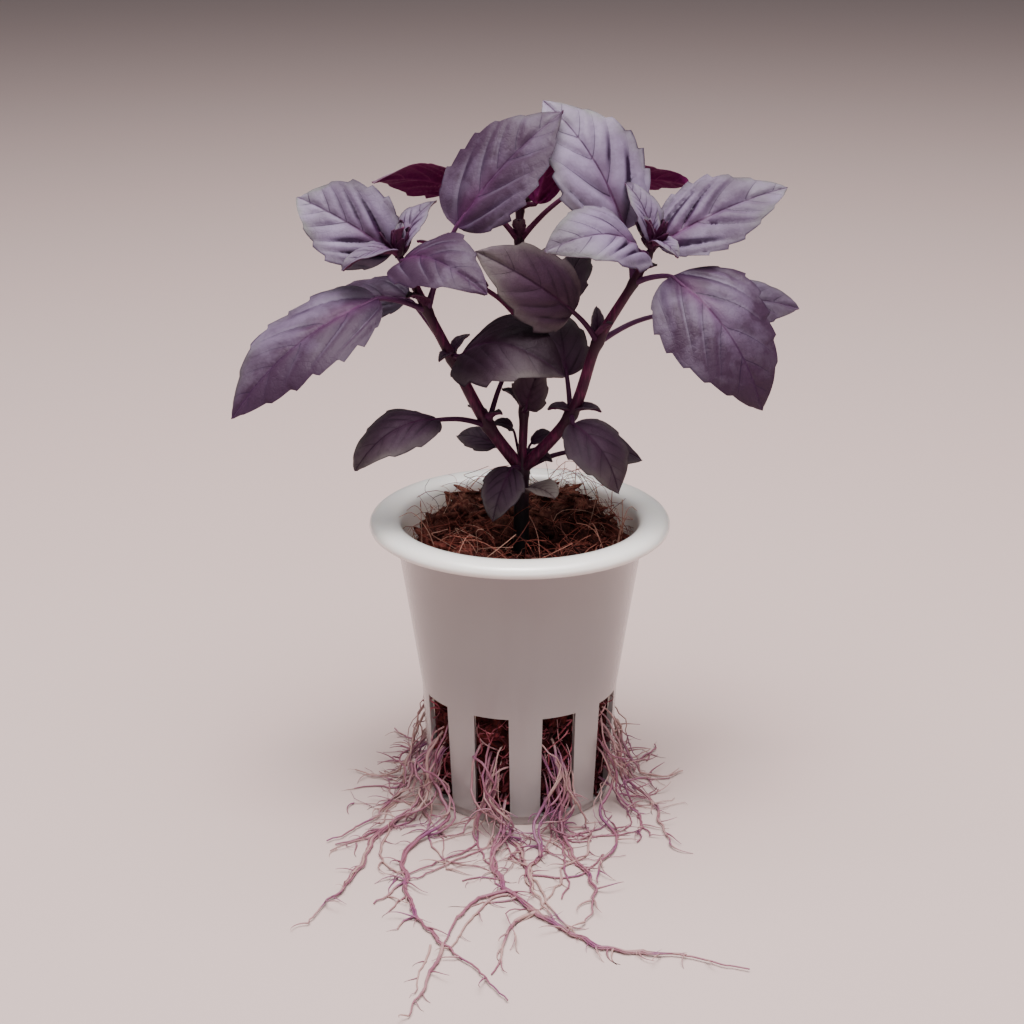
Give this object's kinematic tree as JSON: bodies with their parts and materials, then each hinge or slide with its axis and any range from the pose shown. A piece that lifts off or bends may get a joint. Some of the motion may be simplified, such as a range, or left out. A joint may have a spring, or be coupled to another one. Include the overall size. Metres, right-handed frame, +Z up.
{
  "type": "purple basil plant in net cup",
  "caption": "Young purple basil plant with toothed mauve leaves on dark shoots, rooted in coir in a pale slotted net cup, with pinkish roots spread on the surface.",
  "frame": {"origin": "centre of the underside of the net cup, which stands on the surface", "axes": "+Z up along the cup's axis, -Y towards the front, where the long roots spread, +X to the right of the plant seen from the front"},
  "size_m": [0.1129, 0.1295, 0.1457],
  "materials": {
    "cup": "satin",
    "coir": "matte",
    "stem": "satin",
    "leaf": "satin",
    "root": "satin"
  },
  "bodies": {
    "root": {"net_cup": "cup", "growing_medium": "coir", "main_stem": "stem", "left_shoot": "stem", "right_shoot": "stem", "leaf_left_3_front": "leaf", "leaf_left_3_back": "leaf", "leaf_left_4_back": "leaf", "leaf_left_4_front": "leaf", "leaf_left_2_front": "leaf", "leaf_left_2_back": "leaf", "leaf_left_1_front": "leaf", "leaf_left_1_back": "leaf", "leaf_right_3_front": "leaf", "leaf_right_3_back": "leaf", "leaf_right_4_back": "leaf", "leaf_right_4_front": "leaf", "leaf_right_2_back": "leaf", "leaf_right_2_front": "leaf", "leaf_right_1_front": "leaf", "leaf_right_1_back": "leaf", "leaf_centre_1_front": "leaf", "leaf_centre_2_left": "leaf", "leaf_centre_2_right": "leaf", "leaf_centre_3_left": "leaf", "leaf_centre_3_right": "leaf", "leaf_centre_4_front": "leaf", "leaf_centre_4_back": "leaf", "leaf_base_front": "leaf", "leaf_base_back_left": "leaf", "leaf_base_back_right": "leaf", "roots_front": "root", "roots_right": "root", "roots_right_back": "root", "roots_back_right": "root", "roots_back": "root", "roots_back_left": "root", "roots_left": "root"}
  },
  "joints": []
}
